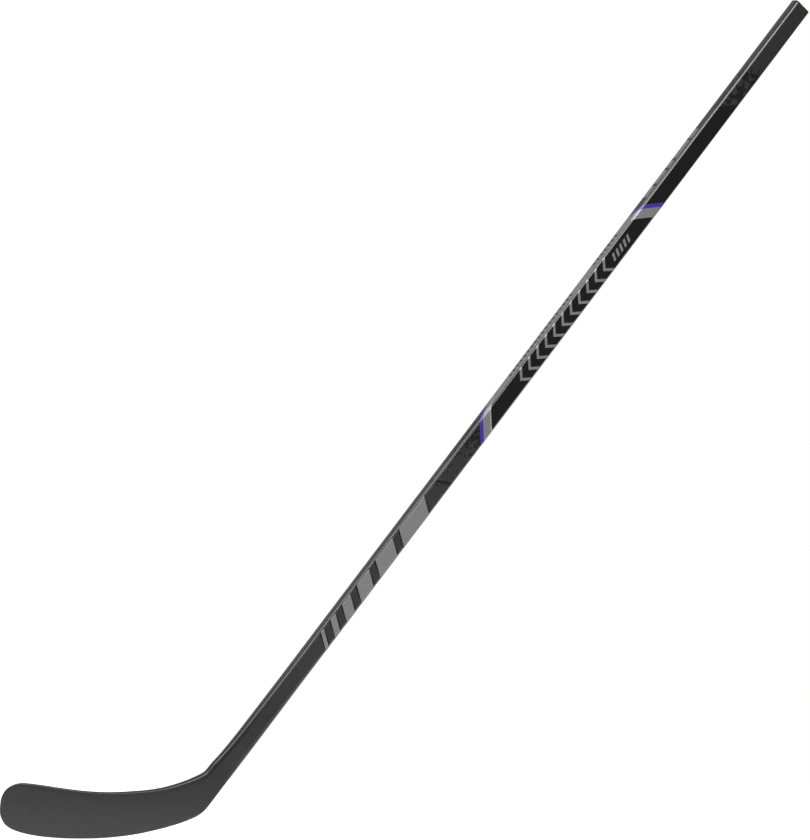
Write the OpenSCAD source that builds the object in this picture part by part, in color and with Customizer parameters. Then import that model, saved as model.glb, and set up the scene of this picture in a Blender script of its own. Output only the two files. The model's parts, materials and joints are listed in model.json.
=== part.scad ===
// Ice hockey stick, left-hand curve: a hollow composite shaft with a push-in butt plug, joined by a tenon
// to a tapered hosel and a foam-cored blade, with thin graphic films wrapped on the shaft.
// The origin is where the shaft's centre line meets the ice. +X runs along the ice towards the butt,
// +Z is up, and the blade curves towards +Y, its forehand side.

/* [Shaft] */
// Length of the stick from heel to butt
stick_len = 1524; // [1270:2:1626]
// Width of the shaft across its narrow faces
shaft_w = 28; // [26:0.5:31]
// Thickness of the shaft across its wide faces
shaft_t = 18; // [16.5:0.5:21]
// Radius of the shaft's long corners
corner_r = 5; // [4:0.25:6]
// Wall thickness of the shaft tube
wall = 2; // [1.6:0.1:2.6]
// Angle between the shaft and the ice
lie_deg = 49; // [44:0.5:51]

/* [Hosel] */
// Length of the tapered hosel from the heel to the shaft tube
hosel_len = 252; // [210:2:300]
// Wall thickness of the hosel
hosel_wall = 2; // [1.6:0.1:2.4]
// How far the tenon reaches into the shaft tube
tenon_up = 60; // [40:1:90]
// How far the tenon reaches down into the hosel
tenon_down = 50; // [30:1:70]

/* [Blade] */
// Length of the blade from heel to toe, along the ice
blade_len = 300; // [260:2:330]
// Height of the blade's top edge near the toe
blade_h = 80; // [68:1:92]
// Thickness of the blade at the heel
blade_t = 12.4; // [10.5:0.1:14.5]
// How far the toe curves out of the shaft's plane
toe_offset = 36; // [10:1:46]
// How fast the curve grows towards the toe
curve_power = 2.5; // [1.8:0.1:3.2]
// How far the blade's face opens at the toe
open_deg = 6; // [0:0.5:12]
// Thickness of the blade's skins
skin_t = 1; // [0.7:0.1:1.3]
// Thickness of the rib between the two foam cores
rib_t = 3; // [2:0.5:6]

/* [Butt plug] */
// Thickness of the plug's cap
cap_t = 2.5; // [1.5:0.25:5]
// How far the plug reaches into the tube
plug_depth = 38; // [25:1:60]
// Number of ribs around the plug
plug_ribs = 4; // [2:1:6]
// Thickness of each rib
plug_rib_t = 1.2; // [0.8:0.1:2]
// How far the ribs stand out from the plug's body
plug_rib_h = 0.9; // [0.5:0.1:1.4]
// Wall thickness of the plug's body
plug_wall = 1.8; // [1.2:0.1:2.4]

/* [Graphics] */
// Thickness of a graphic film
film_t = 0.15; // [0.1:0.05:0.3]
// Distance from the butt to the start of the black upper panel
upper_panel_at = 206; // [170:1:220]
// Distance from the butt to the upper violet band
upper_band_at = 396; // [380:1:420]
// Distance from the butt to the lower violet band
lower_band_at = 803; // [780:1:830]
// Width of a violet band along the shaft
violet_w = 8.5; // [6:0.5:12]
// Width of a silver band along the shaft
silver_w = 20; // [16:0.5:26]
// Distance from the butt to the large mark
large_mark_at = 961; // [940:1:980]
// Width of the dark outline around the large mark
outline_w = 2; // [1:0.1:3]

/* [Fits] */
// Gap for adhesive between bonded pieces
bond_gap = 0.05; // [0.03:0.01:0.15]
// Clearance between the plug's ribs and the tube
plug_gap = 0.08; // [0.05:0.01:0.15]

/* [Hidden] */
$fn = 48;

// Distance from the origin to the heel, along the shaft's centre line
heel_s = 55;
// Distance from the origin to the hosel's upper end and to the butt, along the same line
joint_s = heel_s + hosel_len;
butt_s = heel_s + stick_len;
tube_top_s = butt_s - cap_t;

// The heel's distance from the origin along the ice, and the blade's toe
heel_x = 47;
toe_x = heel_x - blade_len;
// The curve starts just behind the heel
curve_start_x = heel_x + 10;
// Height about which the blade's face opens
open_centre_z = blade_h / 2;

// The blade's rows, toe first. Each holds the sole's distance from the heel and height, the top edge's
// distance and height, and the thickness, as shares of the blade's length, height and heel thickness.
blade_rows = [
    [1.000, 0.54, 1.000, 0.61, 0.10],
    [0.995, 0.41, 0.993, 0.76, 0.30],
    [0.970, 0.25, 0.968, 0.91, 0.40],
    [0.917, 0.14, 0.912, 0.995, 0.45],
    [0.830, 0.06, 0.825, 0.965, 0.48],
    [0.720, 0.015, 0.715, 0.90, 0.52],
    [0.600, 0.00, 0.595, 0.84, 0.57],
    [0.480, 0.01, 0.475, 0.815, 0.63],
    [0.360, 0.05, 0.360, 0.825, 0.70],
    [0.250, 0.12, 0.250, 0.855, 0.77],
    [0.140, 0.212, 0.155, 0.92, 0.84],
    [0.060, 0.305, 0.070, 1.01, 0.92],
    [0.018, 0.375, 0.016, 1.083, 0.98]
];
// The hosel's rows, heel first. Each holds the lower edge's rise above the heel as a share of the hosel's
// length and how far it stands out from the shaft, the same for the upper edge, and the thickness as a
// share of the shaft's.
hosel_rows = [
    [0.03, 0.6, 0.20, 6.0, 0.70],
    [0.15, 0.9, 0.26, 5.2, 0.74],
    [0.25, 0.9, 0.31, 3.8, 0.78],
    [0.35, 0.9, 0.37, 2.6, 0.82],
    [0.48, 0.8, 0.48, 1.4, 0.88],
    [0.65, 0.5, 0.65, 0.7, 0.94],
    [0.83, 0.2, 0.83, 0.25, 0.98],
    [1.00, 0.0, 1.00, 0.0, 1.00]
];

// Points between two rows, and the rows that the pieces run between
row_steps = 4;
blade_count = len(blade_rows);
joint_row = blade_count + len(hosel_rows) - 1;
seam_row = blade_count - 1;
// The foam stops short of the toe, where the skins close to solid laminate
foam_end_row = 1.5;
// Points on each quarter round of a section
arc_steps = 4;

// Row number of the tenon's lower end
tenon_row = joint_row - tenon_down / hosel_len / (1 - hosel_rows[len(hosel_rows) - 2][0]);

// Where the two foam cores meet the rib
rib_half = rib_t / 2;

// Slants of the bands: travel along the shaft for each millimetre across a wide and a narrow face
upper_slant = [1.08, -1.2];
lower_slant = [-1.03, 1.7];
// How far short of the shaft's narrow faces the wide faces' films stop, at the upper and lower corners
split_in = 0.6;
lower_split_in = 2.6;
split_x = shaft_w / 2 - split_in;
// Reach of cutting blocks, beyond the shaft on every side, and of slanted slabs
reach = 60;
slab_reach = 5 * reach;

// Lengths of the large mark's blocks, the gap between them and their slant
large_blocks = [62, 42, 30, 20, 12, 7];
large_gap = 16.5;
large_slant = 14;

// The centre mark's chevrons
chevron_at = 504;
chevron_count = 11;
chevron_pitch = 21;
chevron_line = 5.5;
chevron_point = 12;
chevron_half_w = 12;

// The small mark's bars
small_at = 450;
small_count = 5;
small_pitch = 9;
small_bar = 4.5;
small_slant = 5;
small_half_w = 5;

// Fine bars on the narrow faces: where each run starts, and its number of bars
side_runs = [[458, 7], [572, 18]];
side_pitch = 9;
side_bar = 3.5;
side_half_t = 4.2;

// Blocks on the narrow faces above the bands
upper_side_at = 252;
upper_side_blocks = [18, 34, 14, 26, 22];
upper_side_gap = 5;
upper_side_half_t = 5;

// ---- Curves ----

// A smooth curve through a list of rows, at row number u
function row_at(rows, u) =
    let (
        n = len(rows) - 1,
        i = min(floor(u), n - 1),
        t = u - i,
        a = rows[max(i - 1, 0)],
        b = rows[i],
        c = rows[i + 1],
        d = rows[min(i + 2, n)]
    )
    0.5 * (2 * b + (c - a) * t + (2 * a - 5 * b + 4 * c - d) * t * t + (3 * b - a - 3 * c + d) * t * t * t);

// A point of the shaft's plane, from its distance along the centre line and its offset above it
function shaft_point(s, off) = [
    s * cos(lie_deg) - off * sin(lie_deg),
    s * sin(lie_deg) + off * cos(lie_deg)
];

// A blade row in millimetres: sole x and z, top x and z, and half thickness
function blade_row_mm(q) = [
    heel_x - q[0] * blade_len,
    q[1] * blade_h,
    heel_x - q[2] * blade_len,
    q[3] * blade_h,
    q[4] * blade_t / 2
];

// A hosel row in millimetres, in the same form
function hosel_row_mm(q) =
    let (
        low = shaft_point(heel_s + q[0] * hosel_len, -shaft_w / 2 - q[1]),
        top = shaft_point(heel_s + q[2] * hosel_len, shaft_w / 2 + q[3])
    )
    [low[0], low[1], top[0], top[1], q[4] * shaft_t / 2];

rows_mm = concat(
    [for (q = blade_rows) blade_row_mm(q)],
    [for (q = hosel_rows) hosel_row_mm(q)],
    [hosel_row_mm([1.15, 0, 1.15, 0, 1])]
);

// Sideways place of the blade's middle surface
function camber(x, z) =
    let (run = max(0, curve_start_x - x) / (curve_start_x - toe_x))
    toe_offset * pow(run, curve_power) - run * tan(open_deg) * (z - open_centre_z);

// Row numbers from one to another: both ends, and between them the same steps on every piece
function row_numbers(from, to) = concat(
    [from],
    [for (i = [floor(from * row_steps) + 1 : ceil(to * row_steps) - 1]) i / row_steps],
    [to]
);

// Middle, direction, half height and half thickness of the section at row number u, less an inset
function section(u, inset) =
    let (
        q = row_at(rows_mm, u),
        low = [q[0], 0, q[1]],
        top = [q[2], 0, q[3]],
        along = (top - low) / norm(top - low)
    )
    [(low + top) / 2, along, norm(top - low) / 2 - inset, max(q[4] - inset, 0.05)];

// Places a section's own point (a up the section, b out of the shaft's plane) in space
function placed(sec, a, b) =
    let (p = sec[0] + sec[1] * a)
    [p[0], camber(p[0], p[2]) + b, p[2]];

// Corner radius of a section, kept under its half thickness
function corner(sec, inset) = min(max(corner_r - inset, 0.5), 0.9 * sec[3], 0.9 * sec[2]);

// Closed ring of points around a section
function ring(u, inset) =
    let (sec = section(u, inset), r = corner(sec, inset))
    [
        for (quarter = [0 : 3])
            for (j = [0 : arc_steps])
                let (
                    deg = 90 * quarter + 90 * j / arc_steps,
                    sa = (quarter == 0 || quarter == 3) ? 1 : -1,
                    sb = (quarter < 2) ? 1 : -1
                )
                placed(sec, sa * (sec[2] - r) + r * cos(deg), sb * (sec[3] - r) + r * sin(deg))
    ];

// Open row of points around one side of a section, from its top edge to its sole
function half_ring(u, inset, side, gap) =
    let (sec = section(u, inset), r = corner(sec, inset))
    [
        for (quarter = [0 : 1])
            for (j = [0 : arc_steps])
                let (
                    deg = 90 * quarter + 90 * j / arc_steps,
                    sa = quarter == 0 ? 1 : -1,
                    b = (sec[3] - r) * (quarter == 0 && j == 0 || quarter == 1 && j == arc_steps ? 0 : 1)
                )
                placed(sec, sa * (sec[2] - r) + r * cos(deg), side * max(b + r * sin(deg), gap))
    ];

// Half ring of the skins' inner surface, which closes up where the foam ends
function inner_half_ring(u, side, gap) =
    let (
        full = half_ring(u, skin_t, side, gap),
        sec = section(u, skin_t),
        open = min(1, max(0, (u - foam_end_row + 0.5) / 0.5))
    )
    [for (p = full)
        let (mid_y = camber(p[0], p[2]))
        [p[0], mid_y + side * max(gap, open * abs(p[1] - mid_y)), p[2]]];

// ---- Shells ----

// Closed solid through a list of rings that have the same number of points
module loft(rings) {
    m = len(rings[0]);
    n = len(rings);
    points = [for (r = rings) each r];
    sides = [
        for (i = [0 : n - 2])
            for (j = [0 : m - 1])
                let (k = (j + 1) % m)
                each [
                    [i * m + j, i * m + k, (i + 1) * m + k],
                    [i * m + j, (i + 1) * m + k, (i + 1) * m + j]
                ]
    ];
    first = [for (j = [1 : m - 2]) [0, j + 1, j]];
    last = [for (j = [1 : m - 2]) [(n - 1) * m, (n - 1) * m + j, (n - 1) * m + j + 1]];
    polyhedron(points = points, faces = concat(sides, first, last), convexity = 4);
}

// Closed shell between two grids of points. wrapped joins each ring's last point to its first
module thick_sheet(outer, inner, wrapped = false) {
    m = len(outer[0]);
    n = len(outer);
    shift = n * m;
    strips = wrapped ? m : m - 1;
    points = concat([for (r = outer) each r], [for (r = inner) each r]);
    skins = [
        for (i = [0 : n - 2])
            for (j = [0 : strips - 1])
                let (
                    k = (j + 1) % m,
                    a = i * m + j,
                    b = i * m + k,
                    c = (i + 1) * m + k,
                    d = (i + 1) * m + j
                )
                each [
                    [a, b, c],
                    [a, c, d],
                    [a + shift, c + shift, b + shift],
                    [a + shift, d + shift, c + shift]
                ]
    ];
    ends = [
        for (j = [0 : strips - 1])
            let (k = (j + 1) % m, e = (n - 1) * m)
            each [
                [j, j + shift, k + shift],
                [j, k + shift, k],
                [e + j, e + k, e + k + shift],
                [e + j, e + k + shift, e + j + shift]
            ]
    ];
    edges = wrapped ? [] : [
        for (i = [0 : n - 2])
            let (a = i * m, d = (i + 1) * m, b = a + m - 1, c = d + m - 1)
            each [
                [a, d, d + shift],
                [a, d + shift, a + shift],
                [b, c + shift, c],
                [b, b + shift, c + shift]
            ]
    ];
    polyhedron(points = points, faces = concat(skins, ends, edges), convexity = 6);
}

// ---- Shaft helpers ----

// Turns a piece that stands along Z so that it lies along the shaft's centre line
module on_shaft() {
    rotate([0, 90 - lie_deg, 0]) children();
}

// Rounded rectangle, x across the narrow faces and y across the wide faces
module rounded_rect(w, t, r) {
    square([w - 2 * r, t], center = true);
    square([w, t - 2 * r], center = true);
    for (sx = [-1, 1])
        for (sy = [-1, 1])
            translate([sx * (w / 2 - r), sy * (t / 2 - r)]) circle(r = r);
}

// Outline of the shaft, grown or shrunk by a margin
module shaft_outline(margin) {
    rounded_rect(shaft_w + 2 * margin, shaft_t + 2 * margin, corner_r + margin);
}

// Thin wrap around the shaft between two distances from the butt, on a number of layers below it
module wrap(from, to, layer = 0) {
    translate([0, 0, butt_s - to])
        linear_extrude(to - from)
            difference() {
                shaft_outline((layer + 1) * film_t);
                shaft_outline(layer * film_t);
            }
}

// Slanted slab between two distances from the butt, measured on the centre line
module slanted(from, to, slant) {
    steepness = norm(slant);
    translate([0, 0, butt_s - to])
        rotate([0, atan(steepness), atan2(-slant[1], -slant[0])])
            translate([-slab_reach, -slab_reach, 0])
                cube([2 * slab_reach, 2 * slab_reach, (to - from) * cos(atan(steepness))]);
}

// Everything between the two silver bands
module between_bands() {
    long = lower_band_at - upper_band_at;
    difference() {
        translate([-reach / 2, -reach / 2, butt_s - lower_band_at - reach])
            cube([reach, reach, long + 2 * reach]);
        slanted(upper_band_at + violet_w + silver_w - 3 * reach, upper_band_at + violet_w + silver_w, upper_slant);
        slanted(lower_band_at - silver_w, lower_band_at - silver_w + 3 * reach, lower_slant);
    }
}

// Block that covers the two wide faces and a set part of each corner
module wide_faces() {
    translate([-split_x, -reach, 0]) cube([shaft_w - split_in - lower_split_in, 2 * reach, butt_s]);
}

// Slanted bar across the wide faces, from a distance from the butt
module slanted_bar(at, long, slant, half_w) {
    low = butt_s - at - long;
    rotate([90, 0, 0])
        linear_extrude(2 * reach, center = true)
            polygon([
                [-half_w, low + slant / 2],
                [half_w, low - slant / 2],
                [half_w, low + long - slant / 2],
                [-half_w, low + long + slant / 2]
            ]);
}

// Chevron across the wide faces, its point towards the blade
module chevron(at, half_w, line, point) {
    tip = butt_s - at - point;
    rotate([90, 0, 0])
        linear_extrude(2 * reach, center = true)
            polygon([
                [-half_w, tip + point],
                [0, tip],
                [half_w, tip + point],
                [half_w, tip + point + line],
                [0, tip + line],
                [-half_w, tip + point + line]
            ]);
}

// Distance from the first to a numbered block of a run
function run_start(blocks, gap, i) = i == 0 ? 0 : run_start(blocks, gap, i - 1) + blocks[i - 1] + gap;

// The large mark's blocks, each grown by a margin
module large_blocks_grown(margin) {
    for (i = [0 : len(large_blocks) - 1])
        slanted_bar(
            large_mark_at + run_start(large_blocks, large_gap, i) - margin,
            large_blocks[i] + 2 * margin,
            large_slant,
            split_x - outline_w + margin
        );
}

// ---- Structure ----

module shaft_tube() {
    color("#33353a")
        on_shaft()
            translate([0, 0, joint_s + bond_gap])
                linear_extrude(tube_top_s - joint_s - bond_gap)
                    difference() {
                        shaft_outline(0);
                        shaft_outline(-wall);
                    }
}

module butt_plug() {
    rib_pitch = plug_depth / plug_ribs;
    color("#1b1b1d")
        on_shaft()
            translate([0, 0, tube_top_s]) {
                linear_extrude(cap_t) shaft_outline(0);
                translate([0, 0, -plug_depth])
                    linear_extrude(plug_depth)
                        difference() {
                            shaft_outline(-wall - plug_gap - plug_rib_h);
                            shaft_outline(-wall - plug_gap - plug_rib_h - plug_wall);
                        }
                for (i = [0 : plug_ribs - 1])
                    translate([0, 0, -plug_depth + rib_pitch * (i + 0.35)])
                        linear_extrude(plug_rib_t)
                            difference() {
                                shaft_outline(-wall - plug_gap);
                                shaft_outline(-wall - plug_gap - plug_rib_h - plug_wall / 2);
                            }
            }
}

module tenon() {
    inset = hosel_wall + bond_gap;
    top_inset = wall + bond_gap;
    slide = tenon_up * [cos(lie_deg), 0, sin(lie_deg)];
    low_rings = [for (u = row_numbers(tenon_row, joint_row)) ring(u, max(inset, top_inset))];
    top_ring = [for (p = ring(joint_row, max(inset, top_inset))) p + slide];
    color("#26272a") loft(concat(low_rings, [top_ring]));
}

module hosel_shell() {
    rows = row_numbers(seam_row, joint_row);
    color("#2d2e32")
        thick_sheet([for (u = rows) ring(u, 0)], [for (u = rows) ring(u, hosel_wall)], wrapped = true);
}

module hosel_core() {
    rows = row_numbers(seam_row, tenon_row - bond_gap / 10);
    color("#d9d4c4") loft([for (u = rows) ring(u, hosel_wall + bond_gap)]);
}

// ---- Blade ----

module blade_skin(side) {
    rows = row_numbers(0, seam_row - bond_gap / 10);
    outer = [for (u = rows) half_ring(u, 0, side, bond_gap / 2)];
    inner = [for (u = rows) inner_half_ring(u, side, bond_gap / 2)];
    if (side > 0) thick_sheet(outer, inner);
    else thick_sheet(inner, outer);
}

module forehand_skin() {
    color("#323337") blade_skin(1);
}

module backhand_skin() {
    color("#2f3034") blade_skin(-1);
}

// Foam core above (end = 1) or below (end = -1) the rib
module foam_core(end) {
    inset = skin_t + bond_gap;
    rows = row_numbers(foam_end_row, seam_row - bond_gap / 10);
    rings = [
        for (u = rows)
            let (sec = section(u, inset), r = corner(sec, inset), cut = rib_half + bond_gap)
            concat(
                [placed(sec, end * cut, -sec[3])],
                [placed(sec, end * cut, sec[3])],
                [for (j = [0 : arc_steps])
                    let (deg = 90 - 90 * j / arc_steps)
                    placed(sec, end * (sec[2] - r + r * cos(deg)), sec[3] - r + r * sin(deg))],
                [for (j = [0 : arc_steps])
                    let (deg = 90 * j / arc_steps)
                    placed(sec, end * (sec[2] - r + r * cos(deg)), -(sec[3] - r + r * sin(deg)))]
            )
    ];
    loft(end > 0 ? [for (r = rings) [for (i = [len(r) - 1 : -1 : 0]) r[i]]] : rings);
}

module core_upper() {
    color("#e6e0cf") foam_core(1);
}

module core_lower() {
    color("#ded8c6") foam_core(-1);
}

module core_rib() {
    rows = row_numbers(foam_end_row, seam_row - bond_gap / 10);
    rings = [
        for (u = rows)
            let (sec = section(u, skin_t + bond_gap))
            [
                placed(sec, rib_half, sec[3]),
                placed(sec, -rib_half, sec[3]),
                placed(sec, -rib_half, -sec[3]),
                placed(sec, rib_half, -sec[3])
            ]
    ];
    color("#1f2023") loft(rings);
}

// ---- Graphic films ----

module upper_panel_film() {
    color("#141416")
        on_shaft()
            intersection() {
                wrap(upper_panel_at - reach, upper_band_at + reach);
                slanted(upper_panel_at, upper_band_at, upper_slant);
                wide_faces();
            }
}

module panel_film() {
    color("#0f0f11")
        on_shaft()
            intersection() {
                wrap(upper_band_at - reach, lower_band_at + reach);
                between_bands();
                wide_faces();
            }
}

module side_film() {
    color("#8b8d92")
        on_shaft()
            difference() {
                intersection() {
                    wrap(upper_band_at - reach, lower_band_at + reach);
                    between_bands();
                }
                wide_faces();
            }
}

// Slanted band all round the shaft
module band(from, to, slant) {
    on_shaft()
        intersection() {
            wrap(from - reach, to + reach);
            slanted(from, to, slant);
        }
}

module upper_band_violet() {
    color("#3c2d8c") band(upper_band_at, upper_band_at + violet_w, upper_slant);
}

module upper_band_silver() {
    color("#808287") band(upper_band_at + violet_w, upper_band_at + violet_w + silver_w, upper_slant);
}

module lower_band_violet() {
    color("#3c2d8c") band(lower_band_at, lower_band_at + violet_w, lower_slant);
}

module lower_band_silver() {
    color("#808287") band(lower_band_at - silver_w, lower_band_at, lower_slant);
}

module large_mark() {
    color("#77797e")
        on_shaft()
            intersection() {
                wrap(large_mark_at - reach, large_mark_at + 5 * reach);
                large_blocks_grown(0);
            }
}

module large_mark_outline() {
    color("#111113")
        on_shaft()
            difference() {
                intersection() {
                    wrap(large_mark_at - reach, large_mark_at + 5 * reach);
                    large_blocks_grown(outline_w);
                }
                large_blocks_grown(0);
            }
}

module centre_mark() {
    color("#7d7f84")
        on_shaft()
            intersection() {
                wrap(chevron_at - reach, chevron_at + chevron_count * chevron_pitch + reach, 1);
                union() {
                    for (i = [0 : chevron_count - 1])
                        chevron(chevron_at + i * chevron_pitch, chevron_half_w, chevron_line, chevron_point);
                }
            }
}

module small_mark() {
    color("#85878c")
        on_shaft()
            intersection() {
                wrap(small_at - reach, small_at + small_count * small_pitch + reach, 1);
                union() {
                    for (i = [0 : small_count - 1])
                        slanted_bar(small_at + i * small_pitch, small_bar, small_slant, small_half_w);
                }
            }
}

// Block that covers part of both narrow faces, from a distance from the butt
module narrow_block(at, long, half_t) {
    translate([-reach, -half_t, butt_s - at - long]) cube([2 * reach, 2 * half_t, long]);
}

module side_marks() {
    color("#3a3b3f")
        on_shaft()
            intersection() {
                wrap(upper_band_at, lower_band_at, 1);
                union() {
                    for (run = side_runs)
                        for (i = [0 : run[1] - 1])
                            narrow_block(run[0] + i * side_pitch, side_bar, side_half_t);
                }
            }
}

module upper_side_marks() {
    color("#7b7d82")
        on_shaft()
            difference() {
                intersection() {
                    wrap(upper_side_at - reach, upper_band_at + reach);
                    union() {
                        for (i = [0 : len(upper_side_blocks) - 1])
                            narrow_block(
                                upper_side_at + run_start(upper_side_blocks, upper_side_gap, i),
                                upper_side_blocks[i],
                                upper_side_half_t
                            );
                    }
                }
                slanted(upper_band_at - upper_side_gap, upper_band_at + 3 * reach, upper_slant);
            }
}

shaft_tube();
butt_plug();
tenon();
hosel_shell();
hosel_core();
forehand_skin();
backhand_skin();
core_upper();
core_lower();
core_rib();
upper_panel_film();
panel_film();
side_film();
upper_band_violet();
upper_band_silver();
lower_band_violet();
lower_band_silver();
large_mark_outline();
large_mark();
centre_mark();
small_mark();
side_marks();
upper_side_marks();
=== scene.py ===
"""Ice hockey stick: the finished look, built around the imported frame.

The frame gives the exact shaft, its films and the inner pieces. This script lofts the blade's two
faces and the hosel anew with finer sections, models the butt plug, gives every piece its finish
and sets up the studio.
"""

import json
import logging
import math
from collections.abc import Callable
from dataclasses import dataclass, field
from enum import Enum

import bmesh
import bpy
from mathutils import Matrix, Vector


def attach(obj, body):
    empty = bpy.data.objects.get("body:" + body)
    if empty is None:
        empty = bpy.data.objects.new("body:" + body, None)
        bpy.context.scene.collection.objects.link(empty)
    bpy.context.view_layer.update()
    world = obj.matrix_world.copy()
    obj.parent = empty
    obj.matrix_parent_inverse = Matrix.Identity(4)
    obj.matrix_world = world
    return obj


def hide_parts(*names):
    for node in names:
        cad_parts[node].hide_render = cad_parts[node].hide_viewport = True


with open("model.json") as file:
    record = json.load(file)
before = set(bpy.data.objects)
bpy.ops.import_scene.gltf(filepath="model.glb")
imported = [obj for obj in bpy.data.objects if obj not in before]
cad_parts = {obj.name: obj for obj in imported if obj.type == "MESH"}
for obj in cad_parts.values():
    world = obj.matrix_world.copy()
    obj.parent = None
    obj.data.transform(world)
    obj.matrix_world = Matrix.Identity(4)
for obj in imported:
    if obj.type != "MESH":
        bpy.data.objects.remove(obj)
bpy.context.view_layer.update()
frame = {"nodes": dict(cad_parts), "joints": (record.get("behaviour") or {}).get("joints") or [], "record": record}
MM = 0.001
SMOOTH_DEGREES = 40  # edges sharper than this stay crisp
TINY = 1e-7  # lengths below this count as nothing, in metres
log = logging.getLogger("hockey_stick")

Piece = bpy.types.Object
Node = bpy.types.Node
Socket = bpy.types.NodeSocket


# ---- Choices ----


class Side(Enum):
    """Which way one half of the blade faces."""

    FOREHAND = 1
    BACKHAND = -1


class Slot(Enum):
    """The record's material slots."""

    SHAFT = "shaft_laminate"
    PLUG = "plug_plastic"
    BARE = "bare_laminate"
    BLADE = "blade_laminate"
    FOAM = "foam"
    BLACK = "black_film"
    SILVER = "silver_film"
    VIOLET = "violet_film"
    DARK = "dark_film"


# ---- The lines that everything is laid out on ----


@dataclass(frozen=True)
class ShaftLine:
    """The straight centre line of the shaft.

    Attributes:
        direction: unit vector from the ice towards the butt.
        butt: middle of the plug's outer face.
        width: size of the wide face.
        thickness: size of the narrow face.
        corner: radius of the long corners.
    """

    direction: Vector
    butt: Vector
    width: float = 28 * MM
    thickness: float = 18 * MM
    corner: float = 5 * MM

    @classmethod
    def from_frame(cls) -> "ShaftLine":
        """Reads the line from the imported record's joint and butt mount."""
        axis = frame["joints"][0]["axis"]
        butt = next(m for m in frame["record"]["mounts"] if m["name"] == "butt_end")
        return cls(Vector(axis).normalized(), Vector(butt["pos_m"]))

    @property
    def lie(self) -> float:
        """Angle between the shaft and the ice, in radians."""
        return math.atan2(self.direction.z, self.direction.x)

    @property
    def reach(self) -> float:
        """Distance from the ice to the butt along the line."""
        return self.butt.dot(self.direction)

    def point(self, along: float, above: float) -> tuple[float, float]:
        """Gives a point of the shaft's plane.

        Args:
            along: distance from the ice along the line.
            above: distance above the line.

        Returns:
            The point's x and z.
        """
        c, s = self.direction.x, self.direction.z
        return along * c - above * s, along * s + above * c


@dataclass(frozen=True)
class Section:
    """One cross-section of the blade or hosel.

    Attributes:
        middle: centre of the section.
        rise: angle of its long side above the ice, in radians.
        tilt: angle that it leans sideways, in radians.
        half_height: half its size from sole to top.
        half_thickness: half its size from face to face.
        crown: how far the middle of each face stands proud.
    """

    middle: Vector
    rise: float
    tilt: float
    half_height: float
    half_thickness: float
    crown: float


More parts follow.
